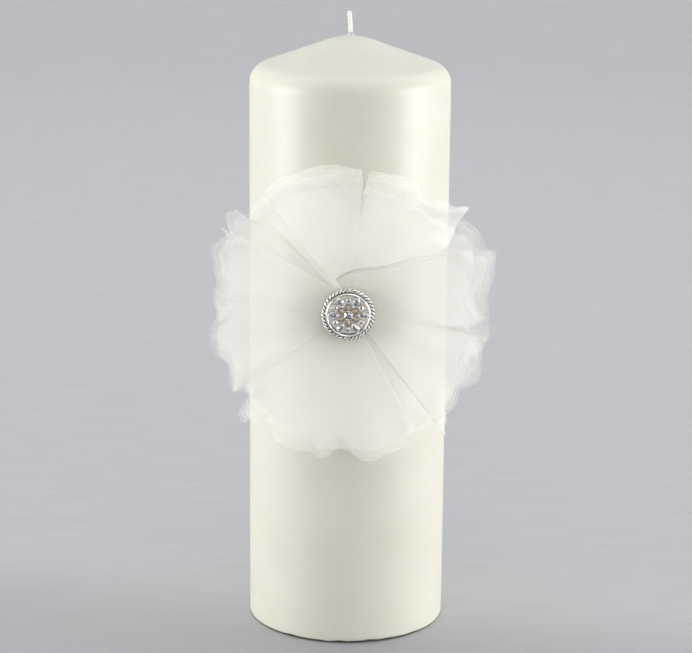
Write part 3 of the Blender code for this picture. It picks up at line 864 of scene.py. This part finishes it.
def settle(petal, radius):
    """A short cloth simulation. The middle, drawn together round the button, is held, and the rim gives as
    crisp net does.
    """
    rest = np.array([vertex.co for vertex in petal.data.vertices])
    looseness = np.clip((radius - SETTLE_HELD) / (CLOTH_RADIUS - SETTLE_HELD), 0, 1)
    held = petal.vertex_groups.new(name="held")
    for index, loose in enumerate(looseness):
        held.add([index], 1.0 - (1.0 - RIM_HOLD) * float(loose), "REPLACE")
    cloth = petal.modifiers.new("cloth", "CLOTH")
    for key, value in CLOTH_SETTINGS.items():
        setattr(cloth.settings, key, value)
    cloth.point_cache.frame_start = 1
    cloth.point_cache.frame_end = SETTLE_FRAMES
    for number in range(1, SETTLE_FRAMES + 1):
        bpy.context.scene.frame_set(number)
    apply_modifiers(petal)
    settled = np.array([vertex.co for vertex in petal.data.vertices])
    move = settled - rest
    far = np.linalg.norm(move, axis=1)
    capped = rest + move * np.minimum(1.0, SETTLE_LIMIT * MM / np.maximum(far, 1e-9))[:, None]
    petal.data.vertices.foreach_set("co", capped.astype(np.float32).ravel())
    petal.data.update()
    bpy.context.scene.frame_set(1)


# ---------------------------------------------------------------- the button


ROPE_TWISTS = 19
ROPE_STRAND = 0.36
ROPE_OFFSET = 0.33
ROPE_INSET = 0.62
RING_WIDTH = 0.62
GROUND_EDGE = 0.12
WIRE_RADIUS = 0.14
GRAIN_RADIUS = 0.24
GRAIN_HEIGHT = 0.3
# Painted reflections for the facets, from dark to a bright glint, with the chance of each; the table gets a
# dark one.
FACET_PAINTED_REFLECTIONS = (0.02, 0.12, 0.3, 0.55, 1.0)
FACET_CHANCES = (0.28, 0.24, 0.2, 0.13, 0.15)
TABLE_PAINTED_REFLECTION = 0.16


def around(centre, angle, points):
    """Points of a piece on the button, turned by the angle and moved to its centre."""
    cos, sin = math.cos(angle), math.sin(angle)
    x, y, z = np.asarray(points, float).T
    return np.stack([centre[0] + x * cos - y * sin, centre[1] + x * sin + y * cos, centre[2] + z], axis=1)


def add_rope(material):
    """Two round wires twisted about each other into a closed ring, tarnished where they meet."""
    low, high = flower_box("rope_border")
    middle = (high.x - low.x) / 2 - ROPE_INSET
    level = (low.z + high.z) / 2
    steps = ROPE_TWISTS * 18
    parts = []
    for strand in range(2):
        path = []
        for i in range(steps):
            angle = math.tau * i / steps
            twist = ROPE_TWISTS * angle + math.pi * strand
            radius = middle + ROPE_OFFSET * math.cos(twist)
            height = level + ROPE_OFFSET * math.sin(twist)
            path.append((radius * math.cos(angle), radius * math.sin(angle), height))
        parts.append(tube(path, [ROPE_STRAND] * steps, 12, True))
    points, faces = joined(parts)
    rope = add_piece("twisted_rope_border", on_flower(points), faces, material, "ornament",
                     ("rope_border",))
    from_core = np.hypot(np.hypot(points[:, 0], points[:, 1]) - middle, points[:, 2] - level)
    add_attribute(rope, "crevice", np.clip(1.32 - from_core / (ROPE_STRAND + ROPE_OFFSET), 0, 1) ** 1.15)
    return rope


def add_ring(material):
    """The smooth ring inside the rope, rounded on top and darker towards its foot."""
    low, high = flower_box("inner_ring")
    outer = high.x
    inner = outer - RING_WIDTH
    mid, half = (outer + inner) / 2, (outer - inner) / 2
    top = high.z - half
    profile = [(outer, low.z)] + arc((mid, top), half, 0.0, math.pi, 12) + [(inner, low.z)]
    points, faces = lathe(profile, 160)
    ring = add_piece("polished_ring", on_flower(points), faces, material, "ornament",
                     ("inner_ring",))
    depth = (high.z - points[:, 2]) / (high.z - low.z)
    add_attribute(ring, "crevice", np.clip(depth * 1.1 - 0.15, 0, 1))
    return ring


def add_ground(material):
    """The cream ground behind the star: a flat disc with a rounded edge."""
    low, high = flower_box("cream_lining")
    profile = [(0.01, low.z), (high.x, low.z)]
    profile += arc((high.x - GROUND_EDGE, high.z - GROUND_EDGE), GROUND_EDGE, 0.0, math.pi / 2, 6)
    profile += [(high.x * share, high.z) for share in (0.9, 0.75, 0.6, 0.45, 0.3, 0.15)] + [(0.01, high.z)]
    points, faces = lathe(profile, 96)
    return add_piece("cream_ground", on_flower(points), faces, material, "ornament",
                     ("cream_lining",))


def oval(length, width, steps, point=0.0):
    """An outline from an ellipse, point 0, to a lens with sharp ends, point 1."""
    angles = np.arange(steps) * math.tau / steps
    x = length * np.cos(angles)
    y = width * np.sin(angles) * ((1 - point) + point * np.abs(np.sin(angles)))
    return np.stack([x, y], axis=1)


def cut_stone(outline, crown, girdle, pavilion, table):
    """A faceted stone: table, star, kite and girdle facets above, and a pointed pavilion below."""
    count = len(outline)
    between = (outline + np.roll(outline, -1, 0)) / 2
    rings = [(outline, -girdle), (outline, 0.0), (between * 0.80, crown * 0.62), (outline * table, crown)]
    points = np.concatenate([np.column_stack([ring, np.full(count, z)]) for ring, z in rings])
    points = np.vstack([points, (0.0, 0.0, -girdle - pavilion)])
    faces = []
    for i in range(count):
        j = (i + 1) % count
        low, edge, kite, top = i, count + i, 2 * count + i, 3 * count + i
        next_low, next_edge, next_kite, next_top = j, count + j, 2 * count + j, 3 * count + j
        faces.append((low, next_low, next_edge, edge))
        faces.append((edge, next_edge, kite))
        faces.append((next_edge, next_kite, next_top, kite))
        faces.append((kite, next_top, top))
        faces.append((4 * count, next_low, low))
    faces.append(tuple(range(3 * count, 4 * count)))
    return points, faces


def add_stone(node, outline, table, material, seed):
    """A cut stone in its CAD node's place. Each facet draws its own painted reflection, from dark to a bright
    glint.
    """
    low, high = flower_box(node)
    centre = (low + high) / 2
    angle = math.atan2(centre.y, centre.x)
    height = high.z - low.z
    crown, girdle = height * 0.46, height * 0.08
    points, faces = cut_stone(outline, crown, girdle, height - crown - girdle, table)
    middle = (centre.x, centre.y, high.z - crown)
    stone = add_piece("cut_" + node, on_flower(around(middle, angle, points)), faces, material, "ornament",
                      (node,), smooth=False)
    random = np.random.default_rng(seed)
    values = random.choice(FACET_PAINTED_REFLECTIONS, len(faces), p=FACET_CHANCES)
    values[-1] = TABLE_PAINTED_REFLECTION
    add_attribute(stone, "facet", values, "FACE")
    return stone


def dome(outline, height, rings):
    """A cushion shape on an outline, with its flat side down."""
    count = len(outline)
    points = []
    for i in range(rings):
        turn = math.pi / 2 * i / rings
        points += [(x * math.cos(turn), y * math.cos(turn), height * math.sin(turn)) for x, y in outline]
    points.append((0.0, 0.0, height))
    top = len(points) - 1
    faces = grid_faces(rings, count, False, True)
    faces += [((rings - 1) * count + i, (rings - 1) * count + (i + 1) % count, top) for i in range(count)]
    faces.append(tuple(reversed(range(count))))
    return np.array(points), faces


def add_inlay(node, material):
    """A domed petal of enamel that points out from the button's middle."""
    low, high = flower_box(node)
    centre = (low + high) / 2
    angle = math.atan2(centre.y, centre.x)
    points, faces = dome(oval(1.28, 0.88, 28, 0.25), high.z - centre.z, 7)
    place = (centre.x, centre.y, centre.z)
    return add_piece("domed_" + node, on_flower(around(place, angle, points)), faces, material, "ornament",
                     (node,))


def add_collets(material):
    """Fine wire rims round the stones and inlays, and the grains that hold each stone."""
    parts = []
    kinds = [(f"marquise_stone_{i}", oval(1.82, 1.13, 40, 0.6), (0.0, math.pi)) for i in range(1, 7)]
    kinds += [(f"round_stone_{i}", oval(0.9, 0.9, 24), (0.8, 2.4, 3.9, 5.5)) for i in range(1, 7)]
    kinds += [(f"champagne_inlay_{i}", oval(1.38, 0.98, 32, 0.25), ()) for i in range(1, 7)]
    kinds.append(("centre_stone", oval(1.58, 1.58, 40), tuple(math.tau * (i + 0.5) / 6 for i in range(6))))
    for node, outline, grains in kinds:
        low, high = flower_box(node)
        centre = (low + high) / 2
        angle = math.atan2(centre.y, centre.x) if node != "centre_stone" else 0.0
        level = high.z - (high.z - low.z) * 0.52
        rim = np.column_stack([outline, np.zeros(len(outline))])
        wire_points, wire_faces = tube(rim, [WIRE_RADIUS] * len(rim), 7, True)
        parts.append((around((centre.x, centre.y, level), angle, wire_points), wire_faces))
        for grain in grains:
            index = int(round(grain / math.tau * len(outline))) % len(outline)
            bead_points, bead_faces = dome(oval(GRAIN_RADIUS, GRAIN_RADIUS, 12), GRAIN_HEIGHT, 4)
            at = around((centre.x, centre.y, level), angle, [(*outline[index], 0.0)])[0]
            parts.append((bead_points + at, bead_faces))
    points, faces = joined(parts)
    collets = add_piece("stone_collets", on_flower(points), faces, material, "ornament")
    lowest, highest = points[:, 2].min(), points[:, 2].max()
    add_attribute(collets, "crevice", 0.75 * (1 - (points[:, 2] - lowest) / (highest - lowest)))
    return collets


def add_stones(material):
    stones = [add_stone("centre_stone", oval(1.5, 1.5, 12), 0.55, material, 5)]
    for i in range(1, 7):
        stones.append(add_stone(f"marquise_stone_{i}", oval(1.75, 1.05, 12, 0.6), 0.5, material, 20 + i))
        stones.append(add_stone(f"round_stone_{i}", oval(0.85, 0.85, 8), 0.55, material, 40 + i))
    return stones


# ---------------------------------------------------------------- CAD nodes that keep their shape


def repaint(node, material, bevel=0.0):
    """Gives a CAD node its finish, and rounds its sharp edges by modifiers that leave its mesh alone."""
    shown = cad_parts[node]
    for slot in shown.material_slots:
        slot.material = material
    if bevel:
        weld = shown.modifiers.new("weld", "WELD")
        weld.merge_threshold = 1e-6
        edge = shown.modifiers.new("edges", "BEVEL")
        edge.width = bevel * MM
        edge.segments = 2
        edge.limit_method = "ANGLE"
        edge.angle_limit = math.radians(40)


def add_felt(material):
    """The felt disc, remeshed finely and roughened by its fibres."""
    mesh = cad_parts["felt_backing"].data.copy()
    felt = bpy.data.objects.new("fibrous_felt", mesh)
    bpy.context.scene.collection.objects.link(felt)
    weld = felt.modifiers.new("weld", "WELD")
    weld.merge_threshold = 1e-6
    voxels = felt.modifiers.new("voxels", "REMESH")
    voxels.mode = "VOXEL"
    voxels.voxel_size = 0.3 * MM
    voxels.use_smooth_shade = True
    fibres = bpy.data.textures.new("felt_fibres", "CLOUDS")
    fibres.noise_scale = 0.0011
    rough = felt.modifiers.new("fibres", "DISPLACE")
    rough.texture = fibres
    rough.texture_coords = "LOCAL"
    rough.strength = 0.16 * MM
    bpy.context.view_layer.update()
    apply_modifiers(felt)
    felt.data.materials.clear()
    felt.data.materials.append(material)
    felt.data.shade_smooth()
    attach(felt, "ornament")
    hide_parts("felt_backing")


# ---------------------------------------------------------------- the scene


def build():
    """The studio, the candle, the flower and the button, in that order."""
    scene = bpy.context.scene
    scene.view_settings.view_transform = "Standard"
    scene.cycles.transparent_max_bounces = 64
    scene.cycles.max_bounces = 20
    scene.cycles.diffuse_bounces = 14
    scene.cycles.transmission_bounces = 14
    add_camera()
    stage = add_stage()

    add_wax(wax_material())
    add_wick(cotton_material())
    tin = steel_material("tinned_steel", rgb(0.72, 0.72, 0.71), rgb(0.5, 0.5, 0.49), 900.0)
    repaint("wick_sustainer", tin)

    add_felt(felt_material())
    tulle = tulle_material()
    petals = [add_petal(node, spec, tulle) for node, spec in PETALS.items()]

    antique = silver_material("antique_silver", 0.5, 0.2)
    bright = silver_material("bright_silver", 0.12, 0.1)
    cream = enamel_material("cream_enamel", rgb(0.93, 0.905, 0.80), rgb(0.85, 0.815, 0.70), 1100.0)
    champagne = enamel_material("champagne_enamel", rgb(0.44, 0.35, 0.235), rgb(0.30, 0.225, 0.14), 1300.0)
    repaint("button_base", antique)
    repaint("star_setting", silver_material("worn_silver", 0.7, 0.28, 0.52), 0.1)
    button = [add_rope(antique), add_ring(bright), add_ground(cream), add_collets(antique)]
    button += [add_inlay(f"champagne_inlay_{i}", champagne) for i in range(1, 7)]
    button += add_stones(crystal_material())
    add_lights(stage, petals + button, petals[-1])
    repaint("shank_thread", thread_material())
    pin_steel = steel_material("pin_steel", rgb(0.80, 0.80, 0.80), rgb(0.58, 0.58, 0.58), 1500.0)
    repaint("ornament_pin_left", pin_steel)
    repaint("ornament_pin_right", pin_steel)


build()
